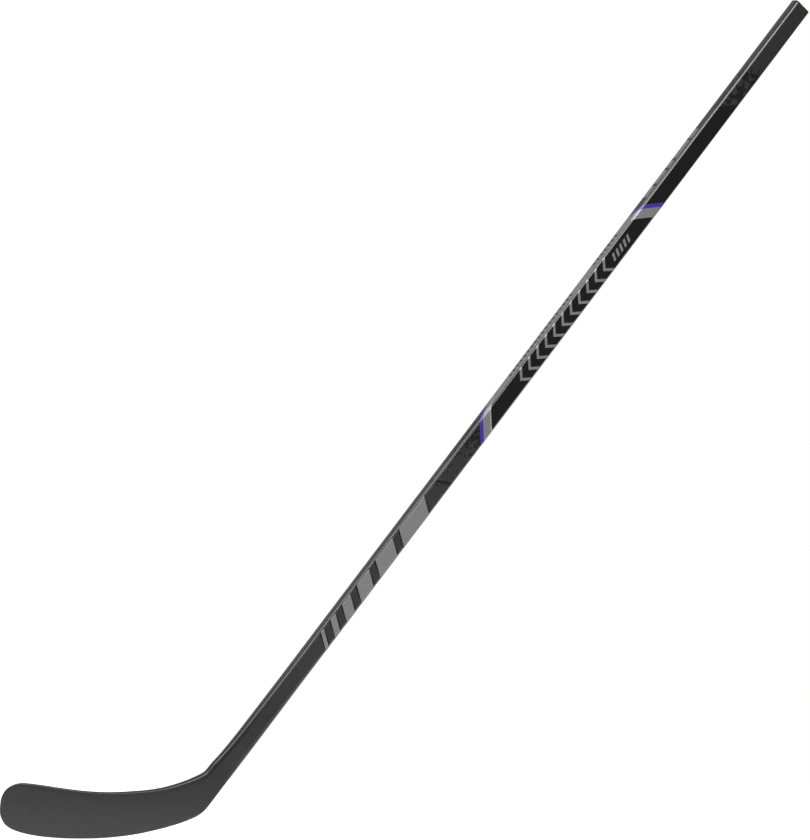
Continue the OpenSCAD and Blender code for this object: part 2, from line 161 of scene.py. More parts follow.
@dataclass(frozen=True)
class BladeForm:
    """The curved form that blade and hosel share, from row 0 at the toe to the shaft's end.

    Attributes:
        line: the shaft's centre line.
        length: blade length from heel to toe along the ice.
        height: blade height.
        thickness: blade thickness at the heel.
        heel: distance of the heel along the shaft's line.
        heel_x: where the blade's length starts.
        curve_start: where the face starts to curve.
        hosel: length of the hosel.
        toe_offset: how far the toe curves to the forehand.
        curve_power: how late the curve comes.
        open_angle: how far the face opens at the toe, in degrees.
        crown: most that a face stands proud in its middle.
        seam_row: row of the seam between blade and hosel.
        joint_row: row where the shaft begins.
    """

    line: ShaftLine
    length: float = 300 * MM
    height: float = 80 * MM
    thickness: float = 12.4 * MM
    heel: float = 55 * MM
    heel_x: float = 47 * MM
    curve_start: float = 57 * MM
    hosel: float = 252 * MM
    toe_offset: float = 36 * MM
    curve_power: float = 2.5
    open_angle: float = 6
    crown: float = 0.9 * MM
    seam_row: float = 12
    joint_row: float = 20

    # sole distance and height, top distance and height, thickness, as shares of the blade's
    BLADE_ROWS = (
        (1.000, 0.54, 1.000, 0.61, 0.10),
        (0.995, 0.41, 0.993, 0.76, 0.30),
        (0.970, 0.25, 0.968, 0.91, 0.40),
        (0.917, 0.14, 0.912, 0.995, 0.45),
        (0.830, 0.06, 0.825, 0.965, 0.48),
        (0.720, 0.015, 0.715, 0.90, 0.52),
        (0.600, 0.00, 0.595, 0.84, 0.57),
        (0.480, 0.01, 0.475, 0.815, 0.63),
        (0.360, 0.05, 0.360, 0.825, 0.70),
        (0.250, 0.12, 0.250, 0.855, 0.77),
        (0.140, 0.212, 0.155, 0.92, 0.84),
        (0.060, 0.305, 0.070, 1.01, 0.92),
        (0.018, 0.375, 0.016, 1.083, 0.98),
    )
    # low rise (share of the hosel) and flare (mm), the same at the top, share of the shaft's thickness
    HOSEL_ROWS = (
        (0.03, 0.6, 0.20, 6.0, 0.70),
        (0.15, 0.9, 0.26, 5.2, 0.74),
        (0.25, 0.9, 0.31, 3.8, 0.78),
        (0.35, 0.9, 0.37, 2.6, 0.82),
        (0.48, 0.8, 0.48, 1.4, 0.88),
        (0.65, 0.5, 0.65, 0.7, 0.94),
        (0.83, 0.2, 0.83, 0.25, 0.98),
        (1.00, 0.0, 1.00, 0.0, 1.0),
        (1.15, 0.0, 1.15, 0.0, 1.0),
    )

    def rows(self) -> list[tuple[float, ...]]:
        """Lists sole x and z, top x and z and half thickness for every row, in metres."""
        blade = [
            (
                self.heel_x - q[0] * self.length,
                q[1] * self.height,
                self.heel_x - q[2] * self.length,
                q[3] * self.height,
                q[4] * self.thickness / 2,
            )
            for q in self.BLADE_ROWS
        ]
        half = self.line.width / 2
        hosel = [
            (
                *self.line.point(self.heel + q[0] * self.hosel, -half - q[1] * MM),
                *self.line.point(self.heel + q[2] * self.hosel, half + q[3] * MM),
                q[4] * self.line.thickness / 2,
            )
            for q in self.HOSEL_ROWS
        ]
        return blade + hosel

    def row_at(self, u: float) -> list[float]:
        """Follows a smooth curve through the rows.

        Args:
            u: row number, whole or between two rows.

        Returns:
            Sole x and z, top x and z and half thickness there.
        """
        rows = self.rows()
        last = len(rows) - 1
        i = min(int(u), last - 1)
        t = u - i
        four = zip(rows[max(i - 1, 0)], rows[i], rows[i + 1], rows[min(i + 2, last)])
        return [
            0.5 * (2 * b + (c - a) * t + (2 * a - 5 * b + 4 * c - d) * t**2
                   + (3 * b - a - 3 * c + d) * t**3)
            for a, b, c, d in four
        ]

    def camber(self, x: float, z: float) -> float:
        """Gives the sideways place of the middle surface at a point of the shaft's plane."""
        toe = self.heel_x - self.length
        run = max(0.0, self.curve_start - x) / (self.curve_start - toe)
        opening = run * math.tan(math.radians(self.open_angle)) * (z - self.height / 2)
        return self.toe_offset * run**self.curve_power - opening

    def section(self, u: float) -> Section:
        """Builds the cross-section at a row number.

        Args:
            u: row number, whole or between two rows.

        Returns:
            The section, placed and tilted.
        """
        low_x, low_z, top_x, top_z, half_thickness = self.row_at(u)
        low_y, top_y = self.camber(low_x, low_z), self.camber(top_x, top_z)
        middle_x, middle_z = (low_x + top_x) / 2, (low_z + top_z) / 2
        tall = math.hypot(top_x - low_x, top_z - low_z)
        fade = min(1.0, max(0.0, (self.seam_row - u) / 4), u / 5) * min(1.0, (tall / self.height) ** 2)
        return Section(
            Vector((middle_x, self.camber(middle_x, middle_z), middle_z)),
            math.atan2(top_z - low_z, top_x - low_x),
            math.atan2(top_y - low_y, tall),
            tall / 2,
            half_thickness,
            self.crown * fade,
        )


# ---- Modelling ----


def start_mesh(name: str) -> Piece:
    """Adds an empty mesh object at the origin and opens it in edit mode.

    Args:
        name: the object's name.

    Returns:
        The object, in edit mode.
    """
    bpy.ops.object.select_all(action="DESELECT")
    bpy.ops.mesh.primitive_plane_add(size=MM, enter_editmode=True)
    piece = bpy.context.object
    piece.name = name
    bpy.ops.mesh.select_all(action="SELECT")
    bpy.ops.mesh.delete(type="VERT")
    return piece


def pick(piece: Piece, wanted: Callable[..., bool], kind: str = "verts") -> int:
    """Selects only the vertices, edges or faces for which wanted holds.

    Args:
        piece: the object in edit mode.
        wanted: test of one vertex, edge or face.
        kind: "verts", "edges" or "faces".

    Returns:
        How many were selected.
    """
    shape = bmesh.from_edit_mesh(piece.data)
    for group in (shape.faces, shape.edges, shape.verts):
        for element in group:
            element.select = False
    chosen = [element for element in getattr(shape, kind) if wanted(element)]
    for element in chosen:
        element.select_set(True)
    bmesh.update_edit_mesh(piece.data)
    return len(chosen)


def close_edit(piece: Piece, smooth_degrees: float = SMOOTH_DEGREES) -> None:
    """Leaves edit mode with the faces outward and curved surfaces smooth.

    Args:
        piece: the object in edit mode.
        smooth_degrees: edges sharper than this stay crisp.
    """
    bpy.ops.mesh.select_all(action="SELECT")
    bpy.ops.mesh.normals_make_consistent(inside=False)
    bpy.ops.object.mode_set(mode="OBJECT")
    bpy.ops.object.shade_smooth_by_angle(angle=math.radians(smooth_degrees))


def bridge_chains(piece: Piece, chains: list[range]) -> None:
    """Joins each chain of vertices to the next with faces.

    Args:
        piece: the object in edit mode.
        chains: the vertex numbers of each chain, in order.
    """
    for pair in zip(chains, chains[1:]):
        pick(piece, lambda e: any(all(v.index in chain for v in e.verts) for chain in pair), "edges")
        bpy.ops.mesh.bridge_edge_loops()


def fill_chain(piece: Piece, chain: range) -> None:
    """Closes a chain of vertices with a face."""
    pick(piece, lambda v: v.index in chain)
    bpy.ops.mesh.edge_face_add()


def turn_outward(piece: Piece, face: bpy.types.MeshPolygon, way: int) -> None:
    """Turns an open sheet's faces over if one of them looks inward.

    Args:
        piece: the sheet, in object mode.
        face: the face that tells.
        way: which way along y it has to look, 1 or -1.
    """
    if face.normal.y * way < 0:
        bpy.ops.object.mode_set(mode="EDIT")
        bpy.ops.mesh.select_all(action="SELECT")
        bpy.ops.mesh.flip_normals()
        bpy.ops.object.mode_set(mode="OBJECT")


def thicken(piece: Piece, wall: float, **settings: object) -> None:
    """Gives an open sheet its wall on the inside and smooths it.

    Args:
        piece: the sheet, active and in object mode.
        wall: thickness of the wall.
        **settings: further properties of the modifier.
    """
    modifier = piece.modifiers.new("wall", "SOLIDIFY")
    more = {"thickness": wall, "offset": -1.0, "use_even_offset": True, "use_quality_normals": True}
    for name, value in (more | settings).items():
        setattr(modifier, name, value)
    bpy.ops.object.modifier_apply(modifier=modifier.name)
    bpy.ops.object.shade_smooth_by_angle(angle=math.radians(SMOOTH_DEGREES))


@dataclass
class SectionLoft:
    """Draws cross-sections one after another and bridges them into a skin.

    Attributes:
        form: where the sections come from.
        arc_steps: faces around one corner.
        flat_cuts: cuts across one flat face.
        outer: share of the half thickness beyond which a vertex is on a face.
        chains: the vertex numbers of each section drawn.
    """

    form: BladeForm
    arc_steps: int = 5
    flat_cuts: int = 7
    outer: float = 0.9
    chains: list[range] = field(default_factory=list)

    def draw(self, piece: Piece, u: float, side: Side | None) -> None:
        """Adds the outline of one section, half of it or all round.

        Args:
            piece: the object in edit mode.
            u: row number.
            side: the half to draw, or None for the whole ring.
        """
        sec = self.form.section(u)
        first = len(bmesh.from_edit_mesh(piece.data).verts)

        def own(v: bmesh.types.BMVert) -> bool:
            """Tells whether a vertex belongs to this section."""
            return v.index >= first

        def flat(e: bmesh.types.BMEdge) -> bool:
            """Tells whether an edge is one of this section's long flats."""
            level = abs(e.verts[0].co.y - e.verts[1].co.y) < TINY
            outer = abs(e.verts[0].co.y) > sec.half_thickness * self.outer
            long = e.calc_length() > sec.half_height * 0.1
            return all(own(v) for v in e.verts) and long and level and outer

        radius = min(self.form.line.corner, 0.9 * sec.half_thickness, 0.9 * sec.half_height)
        bpy.ops.mesh.select_all(action="DESELECT")
        bpy.ops.mesh.primitive_plane_add(size=1)
        deep = sec.half_thickness if side else 2 * sec.half_thickness
        bpy.ops.transform.resize(value=(2 * sec.half_height, deep, 1), center_override=(0, 0, 0))
        if side:
            bpy.ops.transform.translate(value=(0, side.value * deep / 2, 0))
        pick(piece, lambda v: own(v) and (not side or abs(v.co.y) > deep / 2))
        bpy.ops.mesh.bevel(
            offset_type="OFFSET", offset=radius, segments=self.arc_steps, profile=0.5,
            affect="VERTICES", clamp_overlap=False,
        )
        pick(piece, lambda f: all(own(v) for v in f.verts), "faces")
        bpy.ops.mesh.delete(type="ONLY_FACE")
        if side:
            pick(piece, lambda e: all(own(v) and abs(v.co.y) < TINY for v in e.verts), "edges")
            bpy.ops.mesh.delete(type="EDGE")
        pick(piece, flat, "edges")
        bpy.ops.mesh.subdivide(number_cuts=self.flat_cuts)
        self.raise_crown(piece, sec, own)
        pick(piece, own)
        bpy.ops.transform.rotate(
            value=-sec.tilt, orient_axis="Z", orient_type="GLOBAL", center_override=(0, 0, 0))
        bpy.ops.transform.rotate(
            value=sec.rise, orient_axis="Y", orient_type="GLOBAL", center_override=(0, 0, 0))
        bpy.ops.transform.translate(value=sec.middle)
        self.chains.append(range(first, len(bmesh.from_edit_mesh(piece.data).verts)))

    def raise_crown(
            self, piece: Piece, sec: Section, own: Callable[[bmesh.types.BMVert], bool]) -> None:
        """Lifts the middle of each face by the section's crown, step by step across it.

        Args:
            piece: the object in edit mode.
            sec: the section that is being drawn.
            own: test of whether a vertex belongs to it.
        """
        if sec.crown < 1e-6:
            return
        for way in (1, -1):
            if not pick(piece, lambda v: own(v) and v.co.y * way > sec.half_thickness * self.outer):
                continue
            shape = bmesh.from_edit_mesh(piece.data)
            places = sorted({round(abs(v.co.x), 5) for v in shape.verts if v.select})
            for place in places[:-1]:
                pick(piece, lambda v: own(v) and v.co.y * way > sec.half_thickness * self.outer
                     and abs(abs(v.co.x) - place) < 2e-5)
                lift = sec.crown * (1 - (place / sec.half_height) ** 2)
                bpy.ops.transform.translate(value=(0, way * lift, 0))


def row_steps(first: float, last: float, per_row: int) -> list[float]:
    """Lists evenly spaced row numbers, both ends among them."""
    count = round((last - first) * per_row)
    return [first + (last - first) * i / count for i in range(count + 1)]


@dataclass
class BladeAssembly:
    """The blade: two bonded faces around a foam core.

    Attributes:
        form: the curved form of blade and hosel.
        wall: thickness of each face.
        most_wall: most of the half thickness that the wall may take.
        per_row: sections in one row.
        toe_per_row: sections in each of the first rows, where the outline turns.
    """

    form: BladeForm
    wall: float = 1 * MM
    most_wall: float = 0.7
    per_row: int = 5
    toe_per_row: int = 10
    toe_rows: int = 3

    def build(self) -> list[Piece]:
        """Models both faces.

        Returns:
            The forehand and the backhand face.
        """
        return [self.face(side) for side in Side]

    def face(self, side: Side) -> Piece:
        """Lofts one half of the blade, from the toe to the seam with the hosel.

        Args:
            side: which half.

        Returns:
            The finished face, in place.
        """
        piece = start_mesh(f"{side.name.lower()}_face")
        loft = SectionLoft(self.form)
        toe = row_steps(0, self.toe_rows, self.toe_per_row)
        rest = row_steps(self.toe_rows, self.form.seam_row, self.per_row)
        for u in toe + rest[1:]:
            loft.draw(piece, u, side)
        bridge_chains(piece, loft.chains)
        fill_chain(piece, loft.chains[0])
        close_edit(piece)
        turn_outward(piece, max(piece.data.polygons, key=lambda p: p.area), side.value)
        thin = piece.vertex_groups.new(name="wall")
        for u, chain in zip(toe + rest[1:], loft.chains):
            room = self.form.section(u).half_thickness
            thin.add(list(chain), min(1.0, self.most_wall * room / self.wall), "REPLACE")
        thicken(piece, self.wall, vertex_group="wall", thickness_vertex_group=0.0)
        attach(piece, "stick")
        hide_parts(f"{side.name.lower()}_skin")
        return piece


@dataclass
class HoselAssembly:
    """The hosel: a laminate sleeve that turns the shaft's section into the blade's.

    Attributes:
        form: the curved form of blade and hosel.
        wall: thickness of the sleeve.
        per_row: sections in one row.
    """

    form: BladeForm
    wall: float = 2 * MM
    per_row: int = 5

    def build(self) -> Piece:
        """Lofts the sleeve from the blade's seam to the shaft's end.

        Returns:
            The finished sleeve, in place.
        """
        piece = start_mesh("hosel_sleeve")
        loft = SectionLoft(self.form)
        for u in row_steps(self.form.seam_row, self.form.joint_row, self.per_row):
            loft.draw(piece, u, None)
        bridge_chains(piece, loft.chains)
        close_edit(piece)
        turn_outward(piece, min(piece.data.polygons, key=lambda p: p.center.y), -1)
        thicken(piece, self.wall)
        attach(piece, "stick")
        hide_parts("hosel_shell")
        return piece


@dataclass
class PlugAssembly:
    """The butt plug: a moulded cap with a hollow, ribbed stub that fits in the shaft.

    Attributes:
        line: the shaft's centre line.
        cap: thickness of the cap.
        depth: length of the stub.
        wall: the shaft's wall, which the stub clears.
        gap: clearance between rib and shaft.
        rib_height: how far a rib stands out of the stub.
        rib_thick: thickness of a rib.
        stub_wall: wall of the stub.
        ribs: number of ribs.
        rim: radius of the cap's rounded rim.
        rim_steps: faces around the rim's round.
        border: width of the flat border around the cap's dish.
        dish: depth of the dish.
        draft: how far a moulded flat runs out of true.
        corner_steps: faces around one long corner.
        smooth_degrees: edges sharper than this stay crisp.
    """

    line: ShaftLine
    cap: float = 2.5 * MM
    depth: float = 38 * MM
    wall: float = 2 * MM
    gap: float = 0.08 * MM
    rib_height: float = 0.9 * MM
    rib_thick: float = 1.2 * MM
    stub_wall: float = 1.8 * MM
    ribs: int = 4
    rim: float = 0.9 * MM
    rim_steps: int = 4
    border: float = 2.9 * MM
    dish: float = 0.5 * MM
    draft: float = 0.05 * MM
    corner_steps: int = 8
    smooth_degrees: float = 35

    def build(self) -> Piece:
        """Models the plug upright at the origin and then lays it on the shaft's line.

        Returns:
            The finished plug, in place.
        """
        piece = start_mesh("ribbed_butt_plug")
        rings = [self.outline(piece, height, inset) for height, inset in self.profile()]
        bridge_chains(piece, rings)
        fill_chain(piece, rings[0])
        fill_chain(piece, rings[-1])
        close_edit(piece, self.smooth_degrees)
        self.lay_down(piece)
        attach(piece, "butt_plug")
        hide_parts("butt_plug")
        return piece

    def profile(self) -> list[tuple[float, float]]:
        """Lists the outlines from the cap's dish, over its rim and the ribs, to the end of the hollow.

        Returns:
            Height above the shaft's end and inset from the shaft's outline, for each.
        """
        tip = self.wall + self.gap
        body = tip + self.rib_height
        pitch = self.depth / self.ribs
        turns = [math.radians(90 * i / self.rim_steps) for i in range(self.rim_steps + 1)]
        rim = [(self.cap - self.rim * (1 - math.cos(a)), self.rim * (1 - math.sin(a))) for a in turns]
        stub = [
            place
            for i in reversed(range(self.ribs))
            for low in [pitch * (i + 0.35) - self.depth]
            for place in (
                (low + self.rib_thick, body), (low + self.rib_thick - self.draft, tip),
                (low + self.draft, tip), (low, body))
        ]
        dish = [(self.cap - self.dish, self.border + self.dish), (self.cap - self.draft, self.border)]
        hollow = body + self.stub_wall
        return dish + rim + [(0.0, 0.0), (self.draft, body)] + stub + [
            (-self.depth, body), (-self.depth + self.draft, hollow), (0.0, hollow)]

    def outline(self, piece: Piece, height: float, inset: float) -> range:
        """Draws the shaft's outline, less an inset, as a ring of edges.

        Args:
            piece: the object in edit mode.
            height: height of the ring.
            inset: how far it lies inside the shaft's outline.

        Returns:
            The vertex numbers of the ring.
        """
        first = len(bmesh.from_edit_mesh(piece.data).verts)
        bpy.ops.mesh.select_all(action="DESELECT")
        bpy.ops.mesh.primitive_plane_add(size=1, location=(0, 0, height))
        bpy.ops.transform.resize(
            value=(self.line.width - 2 * inset, self.line.thickness - 2 * inset, 1),
            center_override=(0, 0, height))
        bpy.ops.mesh.bevel(
            offset_type="OFFSET", offset=self.line.corner - inset, segments=self.corner_steps, profile=0.5,
            affect="VERTICES", clamp_overlap=False,
        )
        pick(piece, lambda f: all(v.index >= first for v in f.verts), "faces")
        bpy.ops.mesh.delete(type="ONLY_FACE")
        return range(first, len(bmesh.from_edit_mesh(piece.data).verts))

    def lay_down(self, piece: Piece) -> None:
        """Moves the upright plug onto the shaft's line and clears its transform."""
        piece.location = self.line.butt - self.line.direction * self.cap
        piece.rotation_euler = (0, math.pi / 2 - self.line.lie, 0)
        bpy.ops.object.transform_apply(location=True, rotation=True, scale=True)


# ---- Shader wiring ----


class NodeBench:
    """Adds and wires the nodes of one tree."""

    # the Mix node's sockets for colours: share, first and second, and the result
    RGBA_INPUTS = (0, 6, 7)
    RGBA_OUTPUT = 2

    def __init__(self, tree: bpy.types.NodeTree) -> None:
        """Keeps the tree to work on."""
        self.tree = tree

    def add(self, kind: str, settings: dict | None = None, **inputs: object) -> Node:
        """Adds a node.

        Args:
            kind: the node's type, without the ShaderNode prefix.
            settings: its properties by name.
            **inputs: values or output sockets for its inputs, underscores for spaces.

        Returns:
            The node.
        """
        node = self.tree.nodes.new(f"ShaderNode{kind}")
        for name, value in (settings or {}).items():
            setattr(node, name, value)
        for name, value in inputs.items():
            self.wire(value, node.inputs[name.replace("_", " ")])
        return node

    def wire(self, value: object, socket: Socket) -> None:
        """Links an output socket to an input, or sets the input to a plain value."""
        if isinstance(value, Socket):
            self.tree.links.new(value, socket)
        else:
            socket.default_value = value

    def math(self, operation: str, *values: object, clamp: bool = False) -> Socket:
        """Adds a Math node.

        Args:
            operation: its operation.
            *values: numbers or sockets for its inputs.
            clamp: whether the result is kept between 0 and 1.

        Returns:
            Its output.
        """
        node = self.add("Math", {"operation": operation, "use_clamp": clamp})
        for value, socket in zip(values, node.inputs):
            self.wire(value, socket)
        return node.outputs[0]

    def times(self, one: object, other: object, clamp: bool = False) -> Socket:
        """Multiplies two values."""
        return self.math("MULTIPLY", one, other, clamp=clamp)

    def plus(self, one: object, other: object) -> Socket:
        """Adds two values."""
        return self.math("ADD", one, other)

    def minus(self, one: object, other: object) -> Socket:
        """Takes the second value from the first."""
        return self.math("SUBTRACT", one, other)

    def scaled(self, value: object, factor: object, offset: object, clamp: bool = False) -> Socket:
        """Multiplies a value by a factor and adds an offset."""
        return self.math("MULTIPLY_ADD", value, factor, offset, clamp=clamp)

    def span(self, value: object, low: float, high: float, first: object = 0.0,
             last: object = 1.0) -> Socket:
        """Maps a value from one range to another, smoothly and clamped.

        Args:
            value: the socket to map.
            low: value that gives first.
            high: value that gives last.
            first: result at low.
            last: result at high.

        Returns:
            The mapped value.
        """
        node = self.add(
            "MapRange", {"interpolation_type": "SMOOTHSTEP"}, Value=value, From_Min=low, From_Max=high,
            To_Min=first, To_Max=last)
        return node.outputs[0]

    def vary(self, value: object, first: object, last: object) -> Socket:
        """Maps a value of 0 to 1 to a range, smoothly."""
        return self.span(value, 0.0, 1.0, first, last)

    def blend(self, share: object, first: object, second: object) -> Socket:
        """Mixes two colours.

        Args:
            share: how much of the second.
            first: colour or socket.
            second: colour or socket.

        Returns:
            The mixed colour.
        """
        node = self.add("Mix", {"data_type": "RGBA"})
        for value, at in zip((share, first, second), self.RGBA_INPUTS):
            self.wire(value, node.inputs[at])
        return node.outputs[self.RGBA_OUTPUT]

    def noise(self, vector: Socket, scale: object, detail: float, **more: float) -> Socket:
        """Adds a noise texture and gives its grey output."""
        return self.add("TexNoise", Vector=vector, Scale=scale, Detail=detail, **more).outputs["Fac"]

    def axes(self, vector: Socket) -> tuple[Socket, ...]:
        """Splits a vector into x, y and z."""
        return tuple(self.add("SeparateXYZ", Vector=vector).outputs)


def grey(value: float, blue: float = 1.0) -> tuple[float, float, float, float]:
    """Gives a grey as a colour, a little cooler where blue is above 1."""
    return value, value, value * blue, 1.0


@dataclass(frozen=True)
class EffectGroup:
    """A shader node group that several finishes share.

    Attributes:
        name: the group's name.
        inputs: value inputs by name with their defaults, after the Vector input.
        outputs: value outputs by name.
    """

    name: str
    inputs: tuple[tuple[str, float], ...]
    outputs: tuple[str, ...]

    def open(self) -> tuple[NodeBench, list[Socket], bpy.types.bpy_prop_collection]:
        """Makes the empty group.

        Returns:
            Its bench, the sockets of its inputs, Vector first, and the sockets of its outputs by name.
        """
        tree = bpy.data.node_groups.new(self.name, "ShaderNodeTree")
        tree.interface.new_socket(name="Vector", in_out="INPUT", socket_type="NodeSocketVector")
        for name, value in self.inputs:
            socket = tree.interface.new_socket(name=name, in_out="INPUT", socket_type="NodeSocketFloat")
            socket.default_value = value
        for name in self.outputs:
            tree.interface.new_socket(name=name, in_out="OUTPUT", socket_type="NodeSocketFloat")
        given = tree.nodes.new("NodeGroupInput").outputs
        names = ["Vector"] + [name for name, _ in self.inputs]
        return NodeBench(tree), [given[name] for name in names], tree.nodes.new("NodeGroupOutput").inputs


class Effects:
    """Builds each shared effect once."""

    GRAIN = EffectGroup("fine_grain", (("Scale", 900.0), ("Contrast", 0.5)), ("Value",))
    WEAVE = EffectGroup("twill_weave", (("Tow", 0.002),), ("Value", "Height"))
    SCUFFS = EffectGroup("handling_scuffs", (("Scale", 60.0), ("Amount", 0.5)), ("Mask",))
    CRACKLE = EffectGroup("crackle_paint", (("Scale", 140.0), ("Line", 0.1)), ("Mask",))
    SPLATTER = EffectGroup("paint_splatter", (("Scale", 260.0), ("Density", 0.5)), ("Mask",))
    FLAKE = EffectGroup("metal_flake", (("Scale", 2600.0),), ("Value",))

    def build(self) -> None:
        """Builds every group."""
        self.build_grain()
        self.build_weave()
        self.build_scuffs()
        self.build_crackle()
        self.build_splatter()
        self.build_flake()

    def build_grain(self) -> None:
        """Fine even speckle, from two noises of different size."""
        bench, (vector, scale, contrast), result = self.GRAIN.open()
        fine = bench.noise(vector, scale, 3.0, Roughness=0.6)
        coarse = bench.noise(vector, bench.times(scale, 0.17), 2.0)
        both = bench.scaled(coarse, 0.35, bench.times(fine, 0.65))
        centred = bench.minus(both, 0.5)
        value = bench.scaled(centred, bench.times(contrast, 4.0), 0.5, clamp=True)
        bench.wire(value, result["Value"])

    def build_weave(self) -> None:
        """Carbon twill: tows that pass over two and under two, stepped by one."""
        bench, (vector, tow), result = self.WEAVE.open()
        x, y, z = bench.axes(vector)
        across = bench.math("DIVIDE", bench.plus(x, y), tow)
        along = bench.math("DIVIDE", z, tow)
        step = bench.plus(bench.math("FLOOR", across), bench.math("FLOOR", along))
        over = bench.math("LESS_THAN", bench.math("FLOORED_MODULO", step, 4.0), 1.5)
        warp, weft = (
            bench.math("ABSOLUTE", bench.math("SINE", bench.times(run, math.pi)))
            for run in (across, along))
        height = bench.plus(bench.times(over, warp), bench.times(bench.minus(1.0, over), weft))
        bench.wire(over, result["Value"])
        bench.wire(height, result["Height"])

    def build_scuffs(self) -> None:
        """Short stretched scratches in patches."""
        bench, (vector, scale, amount), result = self.SCUFFS.open()
        stretched = bench.add("Mapping", Vector=vector, Scale=(1.0, 1.0, 0.07)).outputs[0]
        lines = bench.noise(stretched, bench.times(scale, 16.0), 3.0, Roughness=0.7)
        patches = bench.noise(vector, scale, 2.0)
        sharp = bench.span(lines, 0.62, 0.70)
        where = bench.span(patches, 0.52, 0.66)
        bench.wire(bench.times(bench.times(sharp, where), amount, clamp=True), result["Mask"])

    def build_crackle(self) -> None:
        """Thick wandering lines around rounded patches."""
        bench, (vector, scale, line), result = self.CRACKLE.open()
        wander = bench.add("TexNoise", Vector=vector, Scale=bench.times(scale, 1.4), Detail=2.0)
        shift = bench.add("VectorMath", {"operation": "SCALE"}, Scale=bench.math("DIVIDE", 0.9, scale))
        bench.wire(wander.outputs["Color"], shift.inputs[0])
        moved = bench.add("VectorMath", {"operation": "ADD"})
        bench.wire(vector, moved.inputs[0])
        bench.wire(shift.outputs[0], moved.inputs[1])
        cells = bench.add(
            "TexVoronoi", {"feature": "DISTANCE_TO_EDGE"}, Vector=moved.outputs[0], Scale=scale)
        thick = bench.scaled(wander.outputs["Fac"], line, bench.times(line, 0.4))
        away = bench.math("DIVIDE", cells.outputs["Distance"], thick, clamp=True)
        bench.wire(bench.minus(1.0, away), result["Mask"])

    def build_splatter(self) -> None:
        """Ragged blots that crowd together as the density rises."""
        bench, (vector, scale, density), result = self.SPLATTER.open()
        ragged = bench.noise(vector, scale, 4.0, Roughness=0.62, Distortion=0.6)
        over = bench.minus(ragged, bench.scaled(density, -0.22, 0.63))
        bench.wire(bench.times(over, 45.0, clamp=True), result["Mask"])

    def build_flake(self) -> None:
        """Tiny flakes, each of its own brightness."""
        bench, (vector, scale), result = self.FLAKE.open()
        cells = bench.add("TexVoronoi", Vector=vector, Scale=scale)
        bench.wire(bench.axes(cells.outputs["Color"])[0], result["Value"])


class SurfaceBench(NodeBench):
    """Wires the Principled surface of one material.

    Attributes:
        line: the shaft's centre line.
        surface: the Principled node.
        place: Object coordinates.
        vector: the same, turned so that z runs along the shaft and is 0 at the butt.
    """

    def __init__(self, material: bpy.types.Material, line: ShaftLine) -> None:
        """Takes up the material's tree and adds both kinds of coordinates."""
        super().__init__(material.node_tree)
        self.line = line
        self.surface = self.tree.nodes["Principled BSDF"]
        self.place = self.add("TexCoord").outputs["Object"]
        self.vector = self.add(
            "Mapping", Vector=self.place, Rotation=(0.0, line.lie - math.pi / 2, 0.0),
            Location=(0.0, 0.0, -line.reach)).outputs[0]

    def feed(self, name: str, value: object) -> None:
        """Wires a value to one of the surface's inputs."""
        self.wire(value, self.surface.inputs[name])

    def effect(self, group: EffectGroup, vector: Socket | None = None, **inputs: object) -> Socket:
        """Places a shared effect.

        Args:
            group: which effect.
            vector: its coordinates, the shaft's own if None.
            **inputs: its other inputs.

        Returns:
            Its first output.
        """
        node = self.tree.nodes.new("ShaderNodeGroup")
        node.node_tree = bpy.data.node_groups[group.name]
        self.wire(self.vector if vector is None else vector, node.inputs["Vector"])
        for name, value in inputs.items():
            self.wire(value, node.inputs[name])
        return node.outputs[0]

    def tinted(self, tone: Socket, red: float, green: float, blue: float) -> Socket:
        """Turns a tone into a colour with these shares of it."""
        red, green, blue = (self.times(tone, share) for share in (red, green, blue))
        return self.add("CombineColor", Red=red, Green=green, Blue=blue).outputs[0]

    def relief(self, height: Socket, depth: float, strength: float) -> None:
        """Wires a bump.

        Args:
            height: height from 0 to 1.
            depth: what a height of 1 stands for, in metres.
            strength: how strongly it shows.
        """
        bump = self.add("Bump", Height=height, Distance=depth, Strength=strength)
        self.feed("Normal", bump.outputs[0])


# ---- Finishes ----


@dataclass(frozen=True)
class Finish:
    """What every finish shares: a Principled surface.

    Attributes:
        slot: the record's slot, which also names the material.
        tone: base grey, linear.
        roughness: roughness of the surface.
        specular: specular level.
        metallic: how metallic it is.
        coat: weight of the clear coat.
        coat_roughness: roughness of the clear coat.
    """

    slot: Slot
    tone: float = 0.02
    roughness: float = 0.4
    specular: float = 0.5
    metallic: float = 0.0
    coat: float = 0.0
    coat_roughness: float = 0.1

    def make(self, line: ShaftLine) -> bpy.types.Material:
        """Builds the material.

        Args:
            line: the shaft's centre line.

        Returns:
            The new material.
        """
        material = bpy.data.materials.new(f"{self.slot.value}_finish")
        material.use_nodes = True
        bench = SurfaceBench(material, line)
        bench.feed("Roughness", self.roughness)
        bench.feed("Specular IOR Level", self.specular)
        bench.feed("Metallic", self.metallic)
        bench.feed("Coat Weight", self.coat)
        bench.feed("Coat Roughness", self.coat_roughness)
        self.paint(bench)
        return material

    def paint(self, bench: SurfaceBench) -> None:
        """Wires the finish's own colour, roughness and relief."""
        raise NotImplementedError


